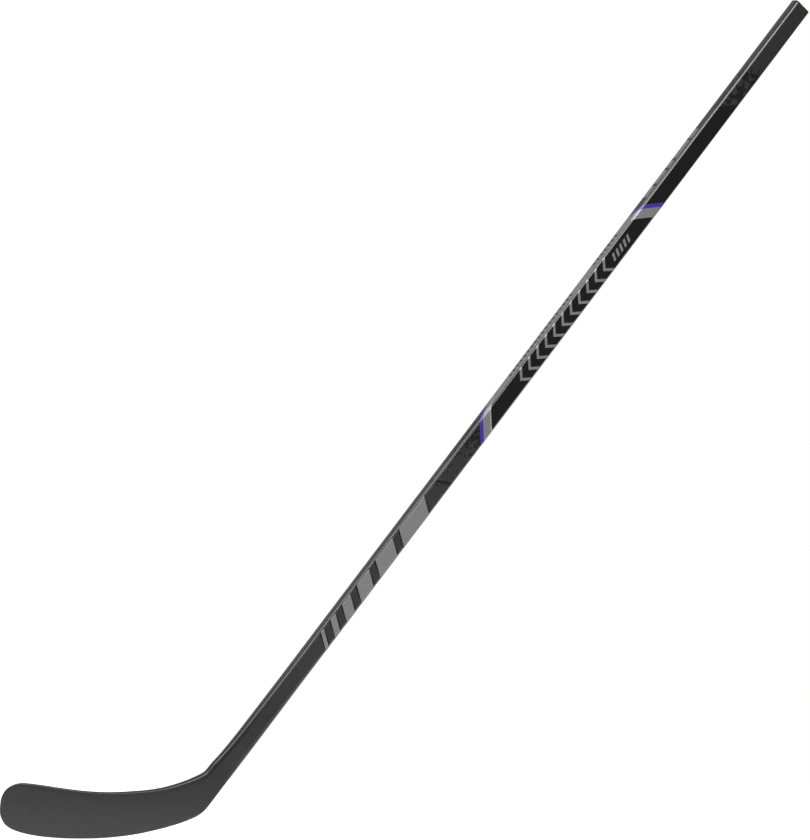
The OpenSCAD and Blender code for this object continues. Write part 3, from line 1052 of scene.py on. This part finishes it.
@dataclass(frozen=True)
class ShaftLaminate(Finish):
    """Satin-coated carbon with crackle near the butt and splatter below the lower band.

    Attributes:
        lower_tone: base grey below the lower band.
        lower_from: where the tone starts to change to it, from the butt.
        lower_to: where it has changed.
        paint_tone: grey of the crackle and splatter.
        worn_tone: grey of the scuffs.
        slant: how far the painted ends lean, per length across and per depth.
        crackle_from: where the crackle starts.
        crackle_to: where it ends.
        cell_lift: how much lighter the cells between its lines are.
        splatter_from: where the splatter starts.
        splatter_run: how far it is dense from there.
        splatter_to: where it has thinned out.
        splatter_end: where a last ragged line crosses the face.
        end_slant: how far that line leans, per length across.
    """

    lower_tone: float = 0.0255
    lower_from: float = 0.78
    lower_to: float = 0.83
    paint_tone: float = 0.0015
    worn_tone: float = 0.09
    slant: tuple[float, float] = (1.08, -1.2)
    crackle_from: float = 126 * MM
    crackle_to: float = 206 * MM
    cell_lift: float = 1.3
    splatter_from: float = 811 * MM
    splatter_run: float = 42 * MM
    splatter_to: float = 900 * MM
    splatter_end: float = 919 * MM
    end_slant: float = 0.62

    def paint(self, bench: SurfaceBench) -> None:
        """Wires the tones along the shaft, the painted patterns and the satin coat."""
        x, y, z = bench.axes(bench.vector)
        down = bench.times(z, -1.0)
        lean = bench.scaled(y, self.slant[1], bench.times(x, self.slant[0]))
        grain = bench.effect(Effects.GRAIN, Scale=1400.0, Contrast=0.4)
        weave = bench.effect(Effects.WEAVE, Tow=1.9 * MM)
        scuffs = bench.effect(Effects.SCUFFS, Scale=34.0, Amount=0.5)
        body = bench.span(down, self.lower_from, self.lower_to, self.tone, self.lower_tone)
        body = bench.times(body, bench.vary(grain, 0.84, 1.16))
        body = bench.times(body, bench.vary(weave, 0.97, 1.03))
        paint, zone = self.crackle(bench, bench.plus(down, lean), down)
        body = bench.times(body, bench.scaled(zone, self.cell_lift - 1.0, 1.0))
        paint = bench.math("MAXIMUM", paint, self.splatter(bench, down, x))
        painted = bench.blend(paint, bench.tinted(body, 1.0, 0.99, 1.02), grey(self.paint_tone))
        bench.feed("Base Color", bench.blend(bench.times(scuffs, 0.35), painted, grey(self.worn_tone)))
        rough = bench.vary(grain, self.roughness - 0.04, self.roughness + 0.05)
        bench.feed("Roughness", bench.scaled(scuffs, 0.15, rough))
        height = bench.scaled(weave.node.outputs["Height"], 0.35, grain)
        bench.relief(bench.scaled(paint, 1.2, height), 0.02 * MM, 0.4)

    def crackle(self, bench: SurfaceBench, leaned: Socket, down: Socket) -> tuple[Socket, Socket]:
        """Masks the crackle near the butt.

        Args:
            bench: the material's bench.
            leaned: distance from the butt along the slanted ends.
            down: plain distance from the butt.

        Returns:
            Where the crackle's lines are, and the whole zone they cross, from 0 to 1.
        """
        lines = bench.span(bench.effect(Effects.CRACKLE, Scale=86.0, Line=0.34), 0.45, 0.60)
        ragged = bench.effect(Effects.GRAIN, Scale=160.0, Contrast=0.8)
        begun = bench.scaled(ragged, -22 * MM, down)
        start = bench.span(begun, self.crackle_from - 12 * MM, self.crackle_from - 7 * MM)
        zone = bench.times(start, bench.math("LESS_THAN", leaned, self.crackle_to - 3 * MM))
        return bench.times(lines, zone), zone

    def splatter(self, bench: SurfaceBench, down: Socket, across: Socket) -> Socket:
        """Masks the splatter below the lower band, densest at the band and the upper corner.

        Args:
            bench: the material's bench.
            down: distance from the butt.
            across: place across the wide face.

        Returns:
            Where the splatter is, from 0 to 1.
        """
        first, last = self.splatter_from, self.splatter_to
        near = bench.span(down, first, first + self.splatter_run, 1.05, 0.42)
        thin = bench.span(down, first + self.splatter_run, last, 1.0, 0.2)
        corner = bench.times(
            bench.span(across, 2 * MM, -bench.line.width / 2, 0.0, 0.5),
            bench.span(down, last - 12 * MM, last + 8 * MM, 1.0, 0.0))
        end = bench.minus(bench.scaled(across, self.end_slant, down), self.splatter_end)
        line = bench.span(bench.math("ABSOLUTE", end), 1 * MM, 5 * MM, 0.95, 0.0)
        density = bench.math("MAXIMUM", line, bench.plus(corner, bench.times(near, thin)))
        inside = bench.times(
            bench.math("GREATER_THAN", down, first - 14 * MM),
            bench.math("LESS_THAN", down, self.splatter_end + 12 * MM))
        return bench.times(bench.effect(Effects.SPLATTER, Scale=215.0, Density=density), inside)


@dataclass(frozen=True)
class BladeLaminate(Finish):
    """Matt speckled coating with painted floor light at the sole; up the hosel it turns into the shaft's satin
    coat.

    Attributes:
        toe_x: place of the toe.
        bare_tone: base grey that the painted floor light, brightest at the sole, fades to up toward the hosel.
        hosel_tone: base grey at the foot of the hosel.
        joint_tone: base grey where the shaft begins.
        worn_tone: grey of the scuffs.
        joint_at: height of the joint with the shaft.
        coat_from: height at which the satin coat begins.
        coat_to: height at which it is complete.
    """

    toe_x: float = -0.253
    bare_tone: float = 0.004
    hosel_tone: float = 0.005
    joint_tone: float = 0.021
    worn_tone: float = 0.16
    joint_at: float = 0.225
    coat_from: float = 0.055
    coat_to: float = 0.110

    def paint(self, bench: SurfaceBench) -> None:
        """Wires the speckle, the painted floor light that lightens the sole, the hosel's tones and the scuffs."""
        x, _, z = bench.axes(bench.place)
        grain = bench.effect(Effects.GRAIN, bench.place, Scale=1300.0, Contrast=0.5)
        broad = bench.effect(Effects.GRAIN, bench.place, Scale=60.0, Contrast=0.12)
        weave = bench.effect(Effects.WEAVE, Tow=2.4 * MM)
        turned = bench.add("Mapping", Vector=bench.place, Rotation=(0.0, math.radians(78), 0.0))
        scuffs = bench.effect(Effects.SCUFFS, turned.outputs[0], Scale=26.0, Amount=1.0)
        low = bench.span(z, 0.030, 0.0)
        toe = bench.span(x, self.toe_x + 0.10, self.toe_x)
        worn = bench.times(scuffs, bench.scaled(bench.math("MAXIMUM", low, toe), 0.75, 0.12))
        coated = bench.span(z, self.coat_from, self.coat_to)
        # painted floor light: the base grey runs from tone at the sole down to bare_tone where the coat is
        # complete
        tone = bench.plus(
            bench.span(z, 0.0, self.coat_to, self.tone, self.bare_tone),
            bench.times(coated, self.hosel_tone - self.bare_tone))
        tone = bench.plus(
            tone, bench.span(z, self.coat_to, self.joint_at, 0.0, self.joint_tone - self.hosel_tone))
        tone = bench.times(tone, bench.vary(grain, 0.72, 1.28))
        tone = bench.times(tone, bench.vary(broad, 0.93, 1.07))
        colour = bench.tinted(tone, 1.0, 0.995, 1.015)
        bench.feed("Base Color", bench.blend(bench.times(worn, 0.6), colour, grey(self.worn_tone)))
        bench.feed("Roughness", bench.vary(grain, self.roughness + 0.06, self.roughness - 0.06))
        bench.feed("Coat Weight", coated)
        bench.feed("Specular IOR Level", bench.vary(coated, self.specular, 0.2))
        height = bench.scaled(weave.node.outputs["Height"], 0.2, grain)
        bench.relief(bench.minus(height, worn), 0.03 * MM, 0.45)


@dataclass(frozen=True)
class BareLaminate(Finish):
    """Uncoated carbon twill of the inner pieces."""

    def paint(self, bench: SurfaceBench) -> None:
        """Wires the weave's two tones, its sheen and its relief."""
        weave = bench.effect(Effects.WEAVE, Tow=1.6 * MM)
        grain = bench.effect(Effects.GRAIN, Scale=1500.0, Contrast=0.9)
        colour = bench.blend(weave, grey(self.tone * 0.7), grey(self.tone * 1.5, 1.05))
        bench.feed("Base Color", bench.blend(bench.times(grain, 0.12), colour, grey(0.12)))
        bench.feed("Roughness", bench.vary(weave, self.roughness, self.roughness - 0.12))
        bench.relief(weave.node.outputs["Height"], 0.08 * MM, 0.7)


@dataclass(frozen=True)
class CoreFoam(Finish):
    """Pale closed-cell foam."""

    def paint(self, bench: SurfaceBench) -> None:
        """Wires the cells' colour and relief."""
        cells = bench.add("TexVoronoi", Vector=bench.vector, Scale=900.0).outputs["Distance"]
        grain = bench.effect(Effects.GRAIN, Scale=500.0, Contrast=0.6)
        pale = bench.blend(cells, (0.82, 0.78, 0.67, 1.0), (0.62, 0.57, 0.46, 1.0))
        bench.feed("Base Color", bench.blend(bench.times(grain, 0.2), pale, (0.70, 0.62, 0.48, 1.0)))
        bench.feed("Roughness", bench.vary(grain, self.roughness - 0.08, self.roughness + 0.05))
        bench.relief(cells, 0.3 * MM, 0.8)


@dataclass(frozen=True)
class PlugPlastic(Finish):
    """Spark-eroded moulded plastic."""

    def paint(self, bench: SurfaceBench) -> None:
        """Wires the moulded grain and a little handling wear."""
        grain = bench.effect(Effects.GRAIN, Scale=1900.0, Contrast=1.0)
        scuffs = bench.effect(Effects.SCUFFS, Scale=90.0, Amount=0.7)
        colour = bench.blend(grain, grey(self.tone * 0.85), grey(self.tone * 1.2, 1.04))
        bench.feed("Base Color", bench.blend(bench.times(scuffs, 0.4), colour, grey(0.08)))
        bench.feed("Roughness", bench.vary(grain, self.roughness - 0.06, self.roughness + 0.06))
        bench.relief(grain, 0.05 * MM, 0.6)


@dataclass(frozen=True)
class PrintedFilm(Finish):
    """A printed film under gloss, with flakes where it is metallic and faint scuffs.

    Attributes:
        tint: base colour, linear.
        flake: how much the flakes differ in brightness.
        ripple: how much the film follows the laminate below it.
    """

    tint: tuple[float, float, float] = (0.01, 0.01, 0.011)
    flake: float = 0.1
    ripple: float = 0.2

    def shade(self, share: float, lift: float = 0.0) -> tuple[float, ...]:
        """Gives the tint times a share, with a lift, as a colour of at most 1."""
        return tuple(min(1.0, share * c + lift) for c in self.tint) + (1.0,)

    def paint(self, bench: SurfaceBench) -> None:
        """Wires the flakes, the film's faint ripple and its scuffs."""
        flakes = bench.effect(Effects.FLAKE, Scale=2400.0)
        scuffs = bench.effect(Effects.SCUFFS, Scale=40.0, Amount=0.6)
        grain = bench.effect(Effects.GRAIN, Scale=700.0, Contrast=0.7)
        colour = bench.blend(flakes, self.shade(1 - self.flake), self.shade(1 + self.flake))
        bench.feed("Base Color", bench.blend(bench.times(scuffs, 0.5), colour, self.shade(0.6, 0.03)))
        rough = bench.vary(flakes, self.roughness - 0.05, self.roughness + 0.05)
        bench.feed("Roughness", bench.scaled(scuffs, 0.2, rough))
        bench.relief(grain, 0.012 * MM, self.ripple)


@dataclass(frozen=True)
class SilverFilm(PrintedFilm):
    """Silver film whose lower band has a lighter line along the black panel.

    Attributes:
        edge_at: where the line starts, from the butt.
        edge_width: its width along the shaft.
        edge_slant: how far the band leans, per length across and per depth.
    """

    edge_at: float = 783 * MM
    edge_width: float = 3 * MM
    edge_slant: tuple[float, float] = (-1.03, 1.7)

    def paint(self, bench: SurfaceBench) -> None:
        """Wires the film and then lightens the line."""
        super().paint(bench)
        base = bench.surface.inputs["Base Color"].links[0].from_socket
        x, y, z = bench.axes(bench.vector)
        lean = bench.scaled(y, self.edge_slant[1], bench.times(x, self.edge_slant[0]))
        place = bench.minus(bench.minus(lean, z), self.edge_at)
        line = bench.times(
            bench.math("GREATER_THAN", place, -0.5 * MM),
            bench.math("LESS_THAN", place, self.edge_width))
        bench.feed("Base Color", bench.blend(bench.times(line, 0.7), base, self.shade(1.9)))


@dataclass
class Wardrobe:
    """Makes each finish once and dresses the pieces with it.

    Attributes:
        line: the shaft's centre line.
        made: the materials by slot.
    """

    line: ShaftLine
    made: dict[Slot, bpy.types.Material] = field(default_factory=dict)

    FINISHES = (
        ShaftLaminate(
            Slot.SHAFT, tone=0.0165, roughness=0.42, specular=0.2, coat=1.0, coat_roughness=0.16),
        # the blade's tone is its base grey at the sole, where the painted floor light is brightest
        BladeLaminate(Slot.BLADE, tone=0.032, roughness=0.46, coat_roughness=0.17),
        BareLaminate(Slot.BARE, roughness=0.45),
        CoreFoam(Slot.FOAM, roughness=0.85),
        PlugPlastic(Slot.PLUG, tone=0.014, roughness=0.5),
        PrintedFilm(
            Slot.BLACK, tint=(0.0045, 0.0045, 0.0048), roughness=0.3, specular=0.1, coat=1.0,
            coat_roughness=0.12, flake=0.08),
        SilverFilm(
            Slot.SILVER, tint=(0.215, 0.213, 0.216), roughness=0.36, metallic=0.25, coat=0.6,
            coat_roughness=0.12, flake=0.06),
        PrintedFilm(
            Slot.VIOLET, tint=(0.045, 0.026, 0.262), roughness=0.34, specular=0.2, coat=1.0,
            coat_roughness=0.12, flake=0.06),
        PrintedFilm(Slot.DARK, tint=(0.035, 0.035, 0.038), coat=0.5, flake=0.06),
    )

    def make_all(self) -> None:
        """Builds the shared effects and every material."""
        Effects().build()
        for finish in self.FINISHES:
            self.made[finish.slot] = finish.make(self.line)

    def dress(self, piece: Piece, slot: Slot) -> None:
        """Gives a piece its material.

        Args:
            piece: a new piece or a CAD node's object.
            slot: the finish.
        """
        if not piece.material_slots:
            piece.data.materials.append(None)
        for place in piece.material_slots:
            place.material = self.made[slot]

    def dress_node(self, name: str) -> None:
        """Gives a CAD node the finish of the slot that the frame gave it."""
        piece = frame["nodes"][name]
        carried = piece.material_slots[0].material.name.split(".")[0]
        self.dress(piece, Slot(carried))


@dataclass
class CarriedAssembly:
    """CAD nodes that are carried over from the frame as they are.

    Attributes:
        wardrobe: where the finishes come from.
        nodes: the nodes' names.
    """

    wardrobe: Wardrobe
    nodes: tuple[str, ...] = ()

    def dress(self) -> None:
        """Dresses every node."""
        for name in self.nodes:
            self.wardrobe.dress_node(name)
            log.info("dressed %s", name)


@dataclass
class ShaftAssembly(CarriedAssembly):
    """The shaft tube with its printed films."""

    nodes: tuple[str, ...] = (
        "shaft_tube", "upper_panel_film", "panel_film", "side_film", "upper_band_violet",
        "upper_band_silver", "lower_band_violet", "lower_band_silver", "large_mark_outline",
        "large_mark", "centre_mark", "small_mark", "side_marks", "upper_side_marks",
    )


@dataclass
class InnerAssembly(CarriedAssembly):
    """The pieces inside: tenon, foam cores and rib."""

    nodes: tuple[str, ...] = ("tenon", "hosel_core", "core_upper", "core_lower", "core_rib")


@dataclass
class ReplacedAssembly(CarriedAssembly):
    """The CAD nodes that pieces modelled here stand for."""

    nodes: tuple[str, ...] = ("butt_plug", "hosel_shell", "forehand_skin", "backhand_skin")


# ---- Studio ----


@dataclass(frozen=True)
class Softbox:
    """A soft light that faces the stick.

    Attributes:
        name: the light's name.
        place: where it hangs, in metres.
        size: its width and height.
        power: its power in watts.
    """

    name: str
    place: tuple[float, float, float]
    size: tuple[float, float]
    power: float

    def hang(self, centre: Vector) -> None:
        """Adds the light and turns it towards the centre."""
        way = Vector(self.place) - centre
        bpy.ops.object.light_add(type="AREA", location=self.place)
        lamp = bpy.context.object
        lamp.name = self.name
        lamp.rotation_euler = way.to_track_quat("Z", "Y").to_euler()
        lamp.data.shape = "RECTANGLE"
        lamp.data.size, lamp.data.size_y = self.size
        lamp.data.energy = self.power


@dataclass
class Studio:
    """Plain pale floor, soft lights and the camera.

    Attributes:
        target: the point that the camera looks at.
        yaw: how far the camera is turned from straight on, in degrees.
        distance: distance from camera to target.
        lens: focal length in millimetres.
        floor_radius: radius of the floor.
        boxes: the soft lights.
    """

    target: Vector = field(default_factory=lambda: Vector((0.3754, 0.0, 0.5877)))
    yaw: float = 29
    distance: float = 13.902
    lens: float = 417.3
    floor_radius: float = 2.1
    boxes: tuple[Softbox, ...] = (
        Softbox("upper_box", (0.62, -2.45, 2.80), (1.6, 1.5), 66),
        Softbox("lower_box", (-0.95, -0.70, 2.90), (1.5, 1.5), 36),
        Softbox("front_fill", (-4.1, -4.0, 0.9), (2.0, 2.0), 60),
    )

    def build(self) -> None:
        """Sets the stage, the lights, the world and the camera."""
        self.lay_floor()
        for box in self.boxes:
            box.hang(self.target)
            log.info("hung %s", box.name)
        self.light_world()
        self.place_camera()
        bpy.context.scene.view_settings.view_transform = "Standard"

    def lay_floor(self) -> None:
        """Adds the round pale floor."""
        bpy.ops.mesh.primitive_circle_add(
            vertices=96, radius=self.floor_radius, fill_type="NGON",
            location=(self.target.x, 0.0, -0.0005))
        floor = bpy.context.object
        floor.name = "studio_floor"
        bpy.ops.object.transform_apply(location=True, rotation=False, scale=False)
        material = bpy.data.materials.new("studio_floor_paint")
        material.use_nodes = True
        bench = NodeBench(material.node_tree)
        surface = material.node_tree.nodes["Principled BSDF"]
        place = bench.add("TexCoord").outputs["Object"]
        mottled = bench.add("TexNoise", Vector=place, Scale=40.0, Detail=2.0)
        bench.wire(
            bench.blend(mottled.outputs["Fac"], grey(0.78), grey(0.82)), surface.inputs["Base Color"])
        surface.inputs["Roughness"].default_value = 0.8
        surface.inputs["Emission Color"].default_value = grey(1.0)
        seen = bench.add("LightPath").outputs["Is Camera Ray"]
        bench.wire(bench.scaled(seen, 0.65, 0.35), surface.inputs["Emission Strength"])
        floor.data.materials.append(material)

    def light_world(self) -> None:
        """Surrounds the stick with dim soft light, white where the camera sees it directly."""
        world = bpy.data.worlds.new("studio_world")
        bpy.context.scene.world = world
        world.use_nodes = True
        bench = NodeBench(world.node_tree)
        sky = world.node_tree.nodes["Background"]
        way = bench.add("TexCoord").outputs["Generated"]
        _, y, z = bench.axes(way)
        behind = bench.span(y, -0.4, 0.9, 0.16, 0.28)
        above = bench.span(z, -0.2, 1.0, 0.0, 0.10)
        soft = bench.plus(behind, above)
        seen = bench.add("LightPath").outputs["Is Camera Ray"]
        bench.wire(
            bench.plus(seen, bench.times(bench.minus(1.0, seen), soft)), sky.inputs["Strength"])
        sky.inputs["Color"].default_value = grey(1.0)

    def place_camera(self) -> None:
        """Adds the camera, level and turned by the yaw."""
        turn = math.radians(self.yaw)
        forward = Vector((math.sin(turn), math.cos(turn), 0.0))
        bpy.ops.object.camera_add(location=self.target - forward * self.distance)
        camera = bpy.context.object
        camera.name = "studio_camera"
        camera.rotation_euler = forward.to_track_quat("-Z", "Y").to_euler()
        camera.data.sensor_width = 36
        camera.data.lens = self.lens
        camera.data.clip_end = 60
        bpy.context.scene.camera = camera


def main() -> None:
    """Builds and dresses the stick piece by piece, then sets up the studio."""
    logging.basicConfig(level=logging.INFO, format="%(name)s: %(message)s")
    line = ShaftLine.from_frame()
    form = BladeForm(line)
    wardrobe = Wardrobe(line)
    wardrobe.make_all()
    built = [(piece, Slot.BLADE) for piece in BladeAssembly(form).build()]
    built.append((HoselAssembly(form).build(), Slot.BLADE))
    built.append((PlugAssembly(line).build(), Slot.PLUG))
    for piece, slot in built:
        wardrobe.dress(piece, slot)
        log.info("built %s with %d faces", piece.name, len(piece.data.polygons))
    for assembly in (ShaftAssembly, InnerAssembly, ReplacedAssembly):
        assembly(wardrobe).dress()
    Studio().build()


if __name__ == "__main__":
    main()
